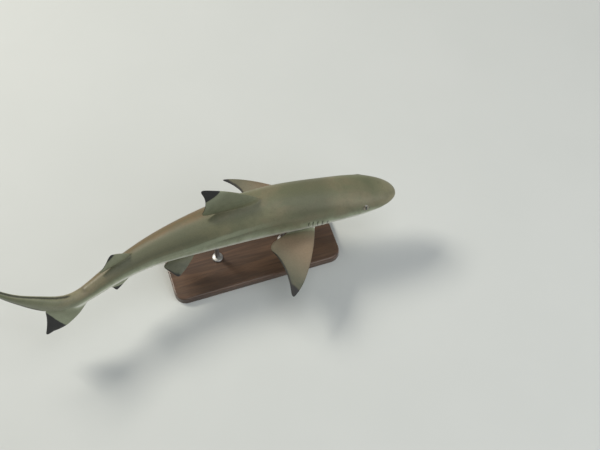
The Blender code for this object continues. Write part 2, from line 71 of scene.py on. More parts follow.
# Fins, in percent: station of the base's front, base length, tip and free rear corner as (back, out) from
# there, bulge of the front margin, hollow of the rear margin, level where the tip's rounding starts,
# thickness at the base and the fillet's reach. black is the line from front to rear margin where the tip's
# black starts, soft how gradually it does so in mm, and rim the width of the dark rear margin in mm.
# The dusk entry is how dark the upper side gets towards the tip, partly the fin's own dark tone and partly
# painted shade, and the level where that starts.
FINS = {
    "first_dorsal_fin": dict(
        at=31.2, base=10.2, tip=(13.8, 11.4), corner=(14.1, 0.8), bulge=1.0, hollow=2.0,
        blunt=0.86, thick=1.45, fillet=0.42, black=((9.0, 8.5), (12.4, 5.8)), soft=1.0,
        rim=1.1, dusk_and_shade=(0.0, 0.0),
    ),
    "second_dorsal_fin": dict(
        at=62.0, base=5.0, tip=(4.9, 4.1), corner=(8.9, 0.45), bulge=0.45, hollow=0.75,
        blunt=0.86, thick=0.8, fillet=0.3, black=((3.7, 3.45), (5.5, 2.6)), soft=2.4,
        rim=1.6, dusk_and_shade=(0.4, -0.1),
    ),
    "anal_fin": dict(
        at=61.6, base=5.2, tip=(6.6, 3.7), corner=(8.8, 0.5), bulge=0.5, hollow=1.2,
        blunt=0.86, thick=0.75, fillet=0.3, black=((4.4, 2.7), (6.4, 1.9)), soft=1.6,
        rim=1.2, dusk_and_shade=(0.3, -0.1),
    ),
    "pectoral_fin_left": dict(
        at=19.9, base=5.8, tip=(18.3, 8.2), corner=(13.2, 1.6), bulge=1.5, hollow=1.15,
        blunt=0.94, thick=1.3, fillet=0.4, black=((16.4, 7.6), (14.6, 4.6)), soft=1.6,
        rim=4.2, dusk_and_shade=(0.8, 0.25),
    ),
    "pectoral_fin_right": dict(
        at=19.9, base=5.8, tip=(9.2, 16.6), corner=(11.8, 2.8), bulge=2.1, hollow=2.05,
        blunt=0.91, thick=1.3, fillet=0.4, black=((6.9, 15.2), (9.3, 11.5)), soft=2.2,
        rim=4.6, dusk_and_shade=(1.0, 0.25),
    ),
    "pelvic_fin_left": dict(
        at=48.0, base=4.9, tip=(6.0, 4.5), corner=(8.6, 0.85), bulge=0.5, hollow=0.2,
        blunt=0.9, thick=0.75, fillet=0.3, black=((5.1, 4.3), (6.9, 2.9)), soft=2.4,
        rim=3.8, dusk_and_shade=(0.85, -0.1),
    ),
    "caudal_lower_lobe": dict(
        at=74.3, base=9.7, tip=(11.7, 8.75), corner=(9.9, 0.35), bulge=0.8, hollow=0.45,
        blunt=0.86, thick=1.0, fillet=0.3, black=((6.95, 5.5), (9.8, 0.5)), soft=1.2,
        rim=1.2, dusk_and_shade=(0.0, 0.0),
    ),
}
FINS["pelvic_fin_right"] = FINS["pelvic_fin_left"]
FIN_EDGE = 0.0006  # the thickness a fin never goes under
CORNER_ROUNDING = 0.45  # of the way from the free corner to the base, and as much along the rear margin
PECTORAL_RING, PELVIC_RING = (-40.0, -47.0), (-62.0, -66.0)  # of the base's front and rear
LEFT_DROOP, RIGHT_DROOP, PELVIC_DROOP = (-14.0, -6.0), (-4.0, 8.0), (20.0, 30.0)

EYE_STATION, EYE_RING = 0.079, 14.0
EYE_SEMI_AXES = (0.0092, 0.0082, 0.0066)
EYE_SUNK = 0.0046  # how far the eye's middle lies under the skin
LID_OPENING = (0.0064, 0.0055)  # half length and half height of the gap between the lids

GILL_STATIONS = (0.168, 0.180, 0.191, 0.202, 0.212)
GILL_HALF_HEIGHTS = (1.25, 1.4, 1.45, 1.35, 1.1)
GILL_MIDDLE, GILL_RISE = -1.55, 1.0

MOUTH_FRONT, MOUTH_CORNER, MOUTH_HALF_WIDTH = 0.060, 0.104, 3.85
NOSTRIL = ((0.0355, 2.95), (0.0425, 2.05))  # its outer and inner ends, as (station, percent to the side)
VENT = 0.533


# ------------------------------ curves
def natural_spline(xs, ys, at):
    """The smoothest curve through the points, read at an array of places."""
    xs, ys = np.array(xs, float), np.array(ys, float)
    step, rise = np.diff(xs), np.diff(ys) / np.diff(xs)
    system, bends = np.eye(len(xs)), np.zeros(len(xs))
    for i in range(1, len(xs) - 1):
        system[i, i - 1 : i + 2] = step[i - 1], 2 * (step[i - 1] + step[i]), step[i]
        bends[i] = 6 * (rise[i] - rise[i - 1])
    second = np.linalg.solve(system, bends)
    i = np.clip(np.searchsorted(xs, at) - 1, 0, len(xs) - 2)
    a, b, h = xs[i + 1] - at, at - xs[i], step[i]
    cubic = (second[i] * a**3 + second[i + 1] * b**3) / (6 * h)
    return cubic + (ys[i] / h - second[i] * h / 6) * a + (ys[i + 1] / h - second[i + 1] * h / 6) * b


def smooth_step(x, low, high):
    t = np.clip((x - low) / (high - low), 0.0, 1.0)
    return t * t * (3 - 2 * t)


def bump(x, width):
    return np.exp(-((x / width) ** 2))


def mixed(a, b, share):
    return a + (b - a) * share


def nose(station, end, power):
    """How far the snout has opened out at a station, from 0 at its tip to 1 at end."""
    return np.sqrt(1 - (1 - np.minimum(station / end, 1.0)) ** power)


def body_tables():
    """Fine tables along the body: its outline in percent, and its centreline's places and headings."""
    station = np.linspace(0, 1, 8001) ** 1.5
    closing = np.sqrt(1 - np.clip((station - 1) / TAIL_TIP_ROUNDING + 1, 0, 1) ** 2)
    half_width = natural_spline(STATIONS, HALF_WIDTHS, station) * nose(station, NOSE_WIDTH, 2.3)
    back = natural_spline(STATIONS, BACKS, station)
    back = SNOUT_TIP + (back - SNOUT_TIP) * nose(station, NOSE_BACK, 1.7)
    belly = natural_spline(BELLY_STATIONS, BELLIES, np.minimum(station, TAIL_START))
    belly = SNOUT_TIP + (belly - SNOUT_TIP) * nose(station, NOSE_BELLY, 2.0)
    belly = np.where(station > TAIL_START, np.interp(station, WEB_STATIONS, WEB_EDGE), belly)
    heading = np.radians(natural_spline(HEADING_STATIONS, HEADINGS, station))
    steps = -TOTAL_LENGTH * np.stack([np.cos(heading), np.sin(heading)], 1)
    places = np.cumsum((steps[1:] + steps[:-1]) / 2 * np.diff(station)[:, None], axis=0)
    places = np.concatenate([np.zeros((1, 2)), places])
    places -= [np.interp(BALANCE_STATION, station, column) for column in places.T]
    return {
        "station": station, "half_width": half_width * closing, "belly": belly,
        "middle": (back + belly) / 2, "half_height": (back - belly) / 2 * closing,
        "heading": heading, "x": places[:, 0], "y": places[:, 1] - BALANCE_SHIFT,
    }


BODY = body_tables()


def along(station, quantity):
    return np.interp(station, BODY["station"], BODY[quantity])


def section(station, ring):
    """The skin at a ring angle in radians, as (left, up) in metres."""
    web = smooth_step(station, TAIL_START, 0.86)  # the tail's sections are blades, thin below
    lean = -0.10 * (1 - smooth_step(station, 0.0, 0.5)) + 0.86 * web
    across = np.cos(ring) * (1 + lean * np.sin(ring) + 0.16 * (1 - web) * np.sin(ring) ** 2)
    left = along(station, "half_width") * across * PERCENT
    left += np.sign(np.cos(ring)) * FIN_EDGE / 2 * np.minimum(1.0, abs(np.cos(ring)) * 3) * web
    up = along(station, "middle") + along(station, "half_height") * np.sin(ring)
    return left, up * PERCENT


def bent(spots):
    """World places of spots, each a row of (station, how far straight back from there, left, up)."""
    station, back, left, up = np.asarray(spots, float).T
    x, y, heading = (along(station, quantity) for quantity in ("x", "y", "heading"))
    roll = np.radians(TAIL_ROLL) * smooth_step(station, ROLL_FROM, ROLL_TO)
    aside = left * np.cos(roll) + up * np.sin(roll)
    height = up * np.cos(roll) - left * np.sin(roll)
    x = x - back * np.cos(heading) - aside * np.sin(heading)
    y = y - back * np.sin(heading) + aside * np.cos(heading)
    return np.stack([x, y, AXIS_HEIGHT + height], 1)


def straightened(spots):
    """The same spots on the animal laid straight: (behind the snout, left, up) in metres."""
    station, back, left, up = np.asarray(spots, float).T
    return np.stack([station * TOTAL_LENGTH + back, left, up], 1)


def spots_at(station, ring):
    left, up = section(station, ring)
    return np.stack([station + 0 * left, 0 * left, left, up], -1)


# ------------------------------ features of the head and body
def ring_at_height(station, height):
    """The ring angle on the left side at a height in percent."""
    return np.arcsin((height - along(station, "middle")) / along(station, "half_height"))


def ring_at_side(station, side):
    """The ring angle on the left of the underside, at a distance from the middle in percent."""
    rings = np.radians(np.linspace(-90, -8, 200))
    return np.array([np.interp(w * PERCENT, section(s, rings)[0], rings) for s, w in zip(station, side)])


def feature_line(station, ring):
    return straightened(spots_at(np.asarray(station, float), np.asarray(ring, float)))


def mouth_line():
    share = np.linspace(0, 1, 24)
    station = MOUTH_FRONT + (MOUTH_CORNER - MOUTH_FRONT) * share**2.2
    reach = np.minimum(share * MOUTH_HALF_WIDTH / along(station, "half_width"), 0.98)
    return feature_line(station, -math.pi / 2 + np.arcsin(reach) * 0.93)


def nostril_line():
    share = np.linspace(0, 1, 8)
    (outer, outer_side), (inner, inner_side) = NOSTRIL
    station = mixed(outer, inner, share) + 0.0010 * np.sin(math.pi * share)
    return feature_line(station, ring_at_side(station, mixed(outer_side, inner_side, share)))


def gill_line(number):
    share = np.linspace(-1, 1, 13)
    height = GILL_MIDDLE + GILL_RISE * number / 4 + GILL_HALF_HEIGHTS[number] * share
    station = GILL_STATIONS[number] + 0.0022 * (1 - share**2)
    return feature_line(station, ring_at_height(station, height))


def eye_frame():
    """The left eye's middle on the straightened skin, and its ways along the head, up and out, as rows."""
    ring, step = math.radians(EYE_RING), 1e-3
    spots = spots_at(
        np.array([EYE_STATION, EYE_STATION - step, EYE_STATION + step, EYE_STATION, EYE_STATION]),
        np.array([ring, ring, ring, ring - step, ring + step]),
    )
    here, ahead, behind, below, above = straightened(spots)
    out = np.cross(behind - ahead, above - below)
    out *= np.sign(out[1]) / np.linalg.norm(out)
    forward = np.array([-1.0, 0, 0]) + out * out[0]
    forward /= np.linalg.norm(forward)
    up = np.cross(out, forward)
    return here, np.stack([forward, up * np.sign(up[2]), out])


def on_the_left(points):
    """Both sides' points laid on the left side."""
    return points * [1, 0, 1] + abs(points) * [0, 1, 0]


def from_line(points, line):
    """Each point's distance from a line, the share of its length there, and how far behind it lies."""
    best = np.full(len(points), 1e9)
    share, behind = np.zeros(len(points)), np.zeros(len(points))
    lengths = np.linalg.norm(np.diff(line, axis=0), axis=1)
    starts = np.concatenate([[0], np.cumsum(lengths)])
    for a, b, start, length in zip(line[:-1], line[1:], starts, lengths):
        t = np.clip((points - a) @ (b - a) / length**2, 0, 1)
        nearest = a + t[:, None] * (b - a)
        distance = np.linalg.norm(points - nearest, axis=1)
        closer = distance < best
        best[closer] = distance[closer]
        share[closer] = ((start + t * length) / starts[-1])[closer]
        behind[closer] = (points - nearest)[closer, 0]
    return best, share, behind


EYE_MIDDLE, EYE_WAYS = eye_frame()


def eye_place(points):
    """Where points of the straightened skin lie from the eye's middle: along the head, up and out."""
    return (on_the_left(points) - EYE_MIDDLE) @ EYE_WAYS.T


def lid_line():
    angle = np.linspace(0, 2 * math.pi, 33)
    rim = np.stack([LID_OPENING[0] * np.cos(angle), LID_OPENING[1] * np.sin(angle), 0 * angle], 1)
    return EYE_MIDDLE + rim @ EYE_WAYS


FEATURES = {"mouth": mouth_line(), "nostril": nostril_line(), "lid": lid_line()}
FEATURES.update({f"gill_{number}": gill_line(number) for number in range(5)})
FURROW = FEATURES["mouth"][-1] + np.array([[0.0006, 0.0008, 0.0004], [-0.0052, 0.0012, 0.0004]])
FINE_WITHIN = (0.0065, 0.0040, 0.0021)  # from a feature, the mesh is halved once, twice and three times
FEATURES_FROM, FEATURES_TO = 0.02, 0.24  # the stretch where it is halved
HEAD_END, GILLS_END = 0.14, 0.26  # behind these there is no lid, and no feature of the head at all


def relief(points, rings):
    """How far the skin stands out from the plain body at each point, and how deep in shade it is there."""
    swell, shade = np.zeros(len(points)), np.zeros(len(points))
    near_head = points[:, 0] < GILLS_END * TOTAL_LENGTH
    spot, ring = on_the_left(points[near_head]), rings[near_head]
    rise, dark = np.zeros(len(spot)), np.zeros(len(spot))

    distance, _, behind = from_line(spot, FEATURES["mouth"])
    d = distance * MM
    rise += -2.9 * bump(d, 0.85) + 0.45 * bump(d - 2.3, 1.3) - 0.7 * bump(d - 1.0, 5.0) * (behind > 0)
    dark += bump(d, 1.0)
    d = from_line(spot, FURROW)[0] * MM
    rise += -0.45 * bump(d, 0.65)
    dark += 0.3 * bump(d, 0.6)

    distance, share, behind = from_line(spot, FEATURES["nostril"])
    d, flap = distance * MM, bump(share - 0.52, 0.16)
    rise += -2.4 * bump(d, 0.95) * (1 - 0.75 * flap) + 0.35 * bump(d - 2.0, 1.0)
    rise += 0.7 * bump(behind * MM + 1.0, 1.3) * bump(share - 0.5, 0.14) * bump(d, 2.0)
    dark += bump(d, 1.0) * (1 - 0.7 * flap)

    for number in range(5):
        distance, share, behind = from_line(spot, FEATURES[f"gill_{number}"])
        ends = 1 - abs(2 * share - 1) ** 6
        d, rearward = distance * MM, behind >= 0
        flap = 0.55 * np.exp(-d / 2.6) * ~rearward
        slit = -1.7 * np.exp(-((d / 1.5) ** 1.3)) * rearward
        rise += (flap + slit) * ends * (d < 9)
        dark += bump(d - 0.25, 0.55) * ends * rearward
    swell[near_head], shade[near_head] = rise, dark

    forward, up, out = eye_place(points).T
    over = (abs(forward / LID_OPENING[0]) ** 1.7 + abs(up / LID_OPENING[1]) ** 1.7) ** (1 / 1.7)
    close = (points[:, 0] < HEAD_END * TOTAL_LENGTH) & (abs(out) < 0.008)
    lids = 0.32 * bump(over - 1.10, 0.13) + 0.7 * bump(over, 2.3) * (over > 0.98)
    fold = -0.35 * bump(over - 1.42, 0.07) * smooth_step(-up, -0.001, 0.002)
    socket = -3.4 * (1 - smooth_step(over, 0.93, 1.02))
    swell += (lids + fold + socket) * close
    shade += (bump(over - 0.98, 0.05) + 0.35 * bump(over - 1.42, 0.06) * (up < 0)) * close

    station, height = points[:, 0] / TOTAL_LENGTH, np.sin(rings)
    pit = 1.3 * bump(station - TAIL_START - 0.0025, 0.0042) * smooth_step(height, 0.62, 0.95)
    pit += 0.9 * bump(station - TAIL_START + 0.0045, 0.004) * smooth_step(-height, 0.62, 0.95)
    vent = bump(points[:, 1] * MM, 1.1) * bump(station - VENT, 0.009) * (height < 0)
    swell -= pit + 1.3 * vent
    shade += 0.5 * vent + 0.3 * pit
    return swell / MM, np.clip(shade, 0, 1)


# ------------------------------ the fins' outlines
def bezier(points, t):
    a, b, c, d = (np.array(p, float) for p in points)
    u = 1 - t
    return a * u**3 + 3 * b * u * u * t + 3 * c * u * t * t + d * t**3


def corner_level(fin):
    """The level t of the free corner, and of the ends of its rounding."""
    inner = math.dist((fin["base"], 0), fin["corner"])
    level = inner / (inner + math.dist(fin["corner"], fin["tip"]))
    return level * (1 - CORNER_ROUNDING), level, level * (1 + CORNER_ROUNDING)


def sharp_rear(fin, t):
    """The rear end of a fin's section with its free corner still sharp."""
    tip, corner = np.array(fin["tip"], float), np.array(fin["corner"], float)
    level = corner_level(fin)[1]
    if t <= level:
        return np.array([fin["base"], 0.0]) * (1 - t / level) + corner * (t / level)
    span = tip - corner
    inward = np.array([-span[1], span[0]]) / np.hypot(*span) * fin["hollow"]
    curve = corner, corner + span * 0.25 + inward, corner + span * 0.68 + inward, tip
    return bezier(curve, (t - level) / (1 - level))


def margins(fin, t):
    """A section's ends, as (back, out) in percent, for t from 0 at the base to 1 at the tip."""
    if t > fin["blunt"]:
        return tip_margins(fin, (t - fin["blunt"]) / (1 - fin["blunt"]) / 2)
    tip = np.array(fin["tip"], float)
    outward = np.array([-tip[1], tip[0]]) / np.hypot(*tip) * fin["bulge"]
    front = bezier(((0, 0), tip * 0.34 + outward, tip * 0.80 + outward * 1.25, tip), t)
    low, middle, high = corner_level(fin)
    if not low < t < high:
        return front, sharp_rear(fin, t)
    u = (t - low) / (high - low)
    ends = sharp_rear(fin, low) * (1 - u) ** 2 + sharp_rear(fin, high) * u**2
    return front, ends + sharp_rear(fin, middle) * 2 * u * (1 - u)


def tip_margins(fin, u):
    """Both ends where the margins round the tip, for u from 0 where that starts to a half at the tip."""
    before, (front, rear) = margins(fin, fin["blunt"] - 0.02), margins(fin, fin["blunt"])
    ways = np.stack([front - before[0], before[1] - rear], 1)
    meeting = front + ways[:, 0] * np.linalg.solve(ways, rear - front)[0]
    return tuple(front * (1 - v) ** 2 + meeting * 2 * v * (1 - v) + rear * v * v for v in (u, 1 - u))


def foil(share):
    """Half thickness of a fin's section at a share of its chord, 1 at the thickest."""
    front = 0.2969 * np.sqrt(share) - 0.126 * share
    return (front - 0.3516 * share**2 + 0.2843 * share**3 - 0.1036 * share**4) / 0.10


def median_placer(fin, side):
    """Places a fin on the back (side 1) or the belly (side -1), as spots."""

    def place(back, out, thick):
        share = np.clip(back / (fin["base"] * PERCENT), 0.0, 1.0)
        station = (fin["at"] + share * fin["base"]) / 100
        _, up = section(station, math.pi / 2 * side + 0 * station)
        return np.stack([station, back - share * fin["base"] * PERCENT, thick, up + side * out], -1)

    return place


def paired_placer(fin, side, rings, droops):
    """Places a fin on the left (side 1) or the right (side -1), drooping more and more towards its tip."""
    span = fin["tip"][1] * PERCENT

    def place(back, out, thick):
        share = np.clip(back / (fin["base"] * PERCENT), 0.0, 1.0)
        station = (fin["at"] + share * fin["base"]) / 100
        left, up = section(station, np.radians(mixed(rings[0], rings[1], share)))
        droop = np.radians(droops[0] + (droops[1] - droops[0]) * np.maximum(out / span, 0.0) / 2)
        left = left + out * np.cos(droop) + thick * np.sin(droop)
        up = up - out * np.sin(droop) + thick * np.cos(droop)
        return np.stack([station, back - share * fin["base"] * PERCENT, left * side, up], -1)

    return place


# ------------------------------ the skin's mesh
COLUMNS = 96  # round the body
HALF = COLUMNS // 2
PECTORAL_COLUMN, PELVIC_COLUMN = 12, 7  # counted up from the belly's middle line
ROWS = (  # stretches of the body, and how far apart the rows of the mesh are there, in m
    (0.05, 0.250, 0.0024), (0.250, 0.60, 0.0031), (0.60, TAIL_START, 0.0026),
    (TAIL_START, 0.925, 0.0024), (0.925, 0.95, 0.0012), (0.95, 0.985, 0.0020),
)
FIN_SEATS = {  # the base's column, which way the thickness runs there, the placer and what it takes
    "first_dorsal_fin": (HALF, -1, median_placer, (1,)),
    "second_dorsal_fin": (HALF, -1, median_placer, (1,)),
    "anal_fin": (0, 1, median_placer, (-1,)),
    "caudal_lower_lobe": (0, 1, median_placer, (-1,)),
    "pectoral_fin_left": (PECTORAL_COLUMN, 1, paired_placer, (1, PECTORAL_RING, LEFT_DROOP)),
    "pectoral_fin_right": (-PECTORAL_COLUMN, -1, paired_placer, (-1, PECTORAL_RING, RIGHT_DROOP)),
    "pelvic_fin_left": (PELVIC_COLUMN, 1, paired_placer, (1, PELVIC_RING, PELVIC_DROOP)),
    "pelvic_fin_right": (-PELVIC_COLUMN, -1, paired_placer, (-1, PELVIC_RING, PELVIC_DROOP)),
}
LOBE_SEAT_END = 0.8435  # just ahead of the fork
WIDEST_SEAT = 22.0  # degrees to each side of the fin's base


def row_stations():
    stations = [0.05 * (i / 26) ** 1.9 for i in range(1, 26)]
    for start, end, spacing in ROWS:
        count = round((end - start) * TOTAL_LENGTH / spacing)
        stations += [mixed(start, end, i / count) for i in range(count)]
    return np.array(stations + [1 - 0.015 * (1 - i / 12) ** 2 for i in range(12)])


def fin_rows(fin, stations):
    """The rows of the body's mesh between which a fin's base lies, with its fillet."""
    start = (fin["at"] - fin["fillet"]) / 100
    end = (fin["at"] + fin["base"] + fin["fillet"]) / 100
    if fin is FINS["caudal_lower_lobe"]:
        end = min(end, LOBE_SEAT_END)
    return int(abs(stations - start).argmin()), int(abs(stations - end).argmin())


def seat_half_width(fin, station):
    """Half the width of the opening in the body's mesh that a fin rises from, in metres."""
    share = np.clip((station * 100 - fin["at"]) / fin["base"], 0, 1)
    return fin["thick"] / 2 * PERCENT * foil(share) + fin["fillet"] * PERCENT * 0.8


def ring_angles(stations):
    """Each row's ring angles, in radians. The columns give way to the fins' bases."""
    plain = np.linspace(-90, 90, HALF + 1)
    shift = np.zeros((len(stations), HALF + 1))
    for name, (column, *_) in FIN_SEATS.items():
        if column < 0:
            continue
        fin = FINS[name]
        start, end = fin["at"] / 100, (fin["at"] + fin["base"]) / 100
        near = smooth_step(stations, start - 0.022, start - 0.004)
        near = near * (1 - smooth_step(stations, end + 0.004, end + 0.022))
        rings = {PECTORAL_COLUMN: PECTORAL_RING, PELVIC_COLUMN: PELVIC_RING}
        rings = rings.get(column, (plain[column], plain[column]))
        share = np.clip((stations - start) / (end - start), 0, 1)
        middle = mixed(*np.radians(rings), share)
        left, up = section(stations, middle)
        step_left, step_up = section(stations, middle + 0.01)
        turn = np.degrees(seat_half_width(fin, stations) * 0.01 / np.hypot(step_left - left, step_up - up))
        turn = np.minimum(turn, WIDEST_SEAT)
        for k in (-1, 0, 1):
            if 0 <= column + k <= HALF:
                shift[:, column + k] += (np.degrees(middle) + turn * k - plain[column + k]) * near
    seats = {column + k for column in (PELVIC_COLUMN, PECTORAL_COLUMN) for k in (-1, 0, 1)}
    controls = sorted(seats | {0, 1, HALF // 2 + 6, HALF - 1, HALF})
    left = np.radians([plain + np.interp(range(HALF + 1), controls, row[controls]) for row in shift])
    right = math.pi - left[:, HALF - 1 : 0 : -1]
    return np.concatenate([left, right], axis=1)


def spot_key(vertex):
    return tuple(round(c, 5) for c in vertex.co)


def refine(net, loops):
    """Halves the mesh's edges near the features of the head, but leaves the loops as they are."""
    held = {spot_key(v) for loop in loops.values() for v in loop}
    for reach in FINE_WITHIN:
        faces = [f for f in net.faces if FEATURES_FROM < f.verts[0].co.x < FEATURES_TO]
        faces = [f for f in faces if not any(spot_key(v) in held for v in f.verts)]
        centres = np.array([f.calc_center_median() for f in faces])
        rings = np.arctan2(centres[:, 2], centres[:, 1])
        points = on_the_left(straightened(spots_at(centres[:, 0], rings)))
        nearest = np.min([from_line(points, line)[0] for line in FEATURES.values()], axis=0)
        edges = {e for f, d in zip(faces, nearest) if d < reach for e in f.edges}
        bmesh.ops.subdivide_edges(net, edges=list(edges), cuts=1, use_grid_fill=True)


def body_net(stations, rings):
    """The body's mesh as a tube of (station, cos, sin), and the loops round its openings for fins."""
    net = bmesh.new()
    grid = [[net.verts.new((s, math.cos(a), math.sin(a))) for a in row] for s, row in zip(stations, rings)]
    tips = net.verts.new((0, 0, 0)), net.verts.new((1, 0, 0))
    openings, loops = set(), {}
    for name, (column, *_) in FIN_SEATS.items():
        first, last = fin_rows(FINS[name], stations)
        openings |= {(i, (column + k) % COLUMNS) for i in range(first, last) for k in (-1, 0)}
        one, middle, other = (column + 1) % COLUMNS, column % COLUMNS, (column - 1) % COLUMNS
        side_one = [grid[i][one] for i in range(first, last + 1)]
        side_other = [grid[i][other] for i in range(last, first - 1, -1)]
        loops[name] = [grid[first][middle], *side_one, grid[last][middle], *side_other]
    inside = {grid[i][j] for i, j in openings if {(i - 1, j), (i, (j - 1) % COLUMNS)} <= openings}
    for i in range(len(stations) - 1):
        for j in range(COLUMNS):
            if (i, j) not in openings:
                k = (j + 1) % COLUMNS
                net.faces.new((grid[i][j], grid[i][k], grid[i + 1][k], grid[i + 1][j]))
    for j in range(COLUMNS):
        k = (j + 1) % COLUMNS
        net.faces.new((tips[0], grid[0][k], grid[0][j]))
        net.faces.new((tips[1], grid[-1][j], grid[-1][k]))
    for vertex in inside:
        net.verts.remove(vertex)
    ends = {name: np.array([v.co for v in loop]) for name, loop in loops.items()}
    refine(net, loops)
    tube = np.array([v.co for v in net.verts])
    faces = [tuple(v.index for v in f.verts) for f in net.faces]
    net.free()
    for name, spots in ends.items():
        loops[name] = [int(abs(tube - spot).sum(axis=1).argmin()) for spot in spots]
    return tube, faces, loops


def fin_levels(fin):
    """Levels from the fillet's top to the tip, closer together at the free corner and round the tip."""
    low, _, high = corner_level(fin)
    steps = [*np.linspace(0.045, max(low, 0.06), 4)[:-1], *np.linspace(max(low, 0.06), high, 9)[:-1]]
    count, blunt = 12 + round(math.dist(fin["tip"], (0, 0))), fin["blunt"]
    steps += [high + (blunt - high) * (i / count) ** 0.9 for i in range(count + 1)]
    return steps + [mixed(blunt, 1, share) for share in (0.14, 0.28, 0.42, 0.56, 0.69, 0.80, 0.89, 0.96)]


def black_depth(fin, back, out):
    """How far inside the black of the fin's tip a place is, in steps of its softness."""
    (x0, y0), (x1, y1) = fin["black"]
    length = math.hypot(x1 - x0, y1 - y0)
    depth = ((x1 - x0) * (out - y0) - (y1 - y0) * (back - x0)) / length
    tip = (x1 - x0) * (fin["tip"][1] - y0) - (y1 - y0) * (fin["tip"][0] - x0)
    return depth * math.copysign(PERCENT * MM, tip) / fin["soft"]


def fin_skin(name, root, first_index):
    """Spots, paint guides and faces of a fin's skin, which rises from the ring of spots at its root."""
    fin, (_, sign, placer, ways) = FINS[name], FIN_SEATS[name]
    place, count = placer(fin, *ways), (len(root) - 2) // 2
    even = np.linspace(0, 1, count)
    low, _, high = corner_level(fin)
    spots, guides = [], []

    def ring_of(t, gather):
        front, rear = margins(fin, t)
        crowded = 1 - np.cos(even * math.pi / 2) ** 1.15
        share = np.clip(mixed(even, crowded, gather), 0.006, 1)
        half = np.maximum(fin["thick"] / 2 * PERCENT * (1 - t) ** 0.8 * foil(share), FIN_EDGE / 2)
        chord = math.dist(front, rear) * PERCENT * MM
        share = np.concatenate([[0], share, [1], share[::-1]])
        half = np.concatenate([[0], half, [0], -half[::-1]]) * sign
        flat = front + share[:, None] * (rear - front)
        flat[count + 1] += (rear - front) * 0.5 * FIN_EDGE * MM / chord
        upper = np.sign(half) + (half == 0)
        rim = (1 - share) * chord / (fin["rim"] * (0.6 + 0.8 * t)) + 6 * (1 - smooth_step(t, low, high))
        guide = black_depth(fin, *flat.T), rim, np.full(len(share), t), share, upper
        return place(*(flat.T * PERCENT), half), np.stack(guide, 1)

    base, base_guide = ring_of(0.0, 0.0)
    top, top_guide = ring_of(0.045, 0.25)
    for u in (0.2, 0.42, 0.65, 0.85):
        spots.append(root * (1 - u) ** 2 + base * 2 * u * (1 - u) + top * u**2)
        guides.append(mixed(base_guide, top_guide, u))
    for t in fin_levels(fin):
        spot, guide = ring_of(t, float(smooth_step(t, 0.0, 0.25)) * 0.75 + 0.25)
        spots.append(spot)
        guides.append(guide)
    end, end_guide = ring_of(0.9999, 1.0)
    spots.append(end[:1])
    guides.append(end_guide[:1])

    size, faces = len(root), []
    for r in range(len(spots) - 2):
        for k in range(size):
            m = (k + 1) % size
            a, b = first_index + r * size, first_index + (r + 1) * size
            faces.append((a + k, a + m, b + m, b + k))
    last, tip = first_index + (len(spots) - 2) * size, first_index + (len(spots) - 1) * size
    faces += [(last + k, last + (k + 1) % size, tip) for k in range(size)]
    return np.concatenate(spots), np.concatenate(guides), faces


# Each fin's shade above and below, where 1 is the back's and -1 the belly's, and how warm a tan it has.
FIN_SHADES = {
    "first_dorsal_fin": (0.16, 0.16, 0.0), "second_dorsal_fin": (0.85, 0.85, 0.15),
    "anal_fin": (0.05, 0.05, 0.1), "caudal_lower_lobe": (0.18, 0.18, 0.0),
    "pectoral_fin_left": (0.75, -0.8, 1.0), "pectoral_fin_right": (0.75, -0.8, 1.0),
    "pelvic_fin_left": (0.7, -0.7, 0.1), "pelvic_fin_right": (0.7, -0.7, 0.1),
}
LOWER_RIM = (4.6, 6.4, 4.0)  # width of the tail's dark rim at the fork, behind it and at the tip, in mm
UPPER_RIM = 1.1
WEB_SHADES = (0.30, 0.80)  # of the tail's lower and upper edge, on the same scale


def body_paint(spots, ring, shade):
    """What guides the paint on the body, with a dark rim along the tail's edges."""
    station, height = spots[:, 0], spots[:, 3]
    lower_rim = mixed(*LOWER_RIM[:2], smooth_step(station, 0.84, 0.90))
    lower_rim = mixed(lower_rim, LOWER_RIM[2], smooth_step(station, 0.90, 0.98))
    lower = (height - along(station, "belly") * PERCENT) * MM / lower_rim
    upper = (along(station, "middle") + along(station, "half_height")) * PERCENT - height
    upper = upper * MM / UPPER_RIM + 0.62 + 2.5 * (1 - smooth_step(station, TAIL_START, 0.79))
    before_fork, before_tail = 1 - smooth_step(station, 0.826, 0.848), station < TAIL_START
    web_shade = mixed(*WEB_SHADES, (1 + np.sin(ring)) / 2)
    around = mixed(np.sin(ring), web_shade, smooth_step(station, 0.74, 0.82))
    over_snout = np.clip((height / PERCENT - SNOUT_TIP + 0.45) / 2.4, -1, 1)
    return {
        "around": mixed(over_snout, around, smooth_step(station, 0.0, 0.075)),
        "black": (station - mixed(0.972, 0.950, smooth_step(lower, 9, 0))) * TOTAL_LENGTH * MM / 2,
        "rim": np.minimum(lower + 9 * before_fork, upper + 9 * before_tail),
        "hollow": shade,
        "fin": smooth_step(station, 0.80, 0.86) * (1 - smooth_step(np.sin(ring), -0.1, 0.5)),
        "ray": 0.5 + 0 * ring,
        "span": 0 * ring,
        "warm": 0 * ring,
        "dusk_and_shade": 0 * ring,
    }


def fin_paint(name, guide, root_shade):
    """What guides the paint on a fin, from the body's shade round its root."""
    black, rim, t, share, upper = guide.T
    (above, below, warm), (depth, start) = FIN_SHADES[name], FINS[name]["dusk_and_shade"]
    grown, target = smooth_step(t, -0.03, 0.16), np.where(upper > 0, above, below)
    return {
        "around": mixed(np.resize(root_shade, len(t)), target, grown),
        "black": black,
        "rim": rim,
        "hollow": 0 * t,
        "fin": grown,
        "ray": share,
        "span": t,
        "warm": warm * smooth_step(t, 0.0, 0.2),
        "dusk_and_shade": depth * smooth_step(t, start, start + 0.6) * (upper > 0),
    }


def linked(data, matrix=None):
    """An object of the data's name, in the scene."""
    made = bpy.data.objects.new(data.name, data)
    if matrix is not None:
        made.matrix_world = matrix
    bpy.context.scene.collection.objects.link(made)
    return made


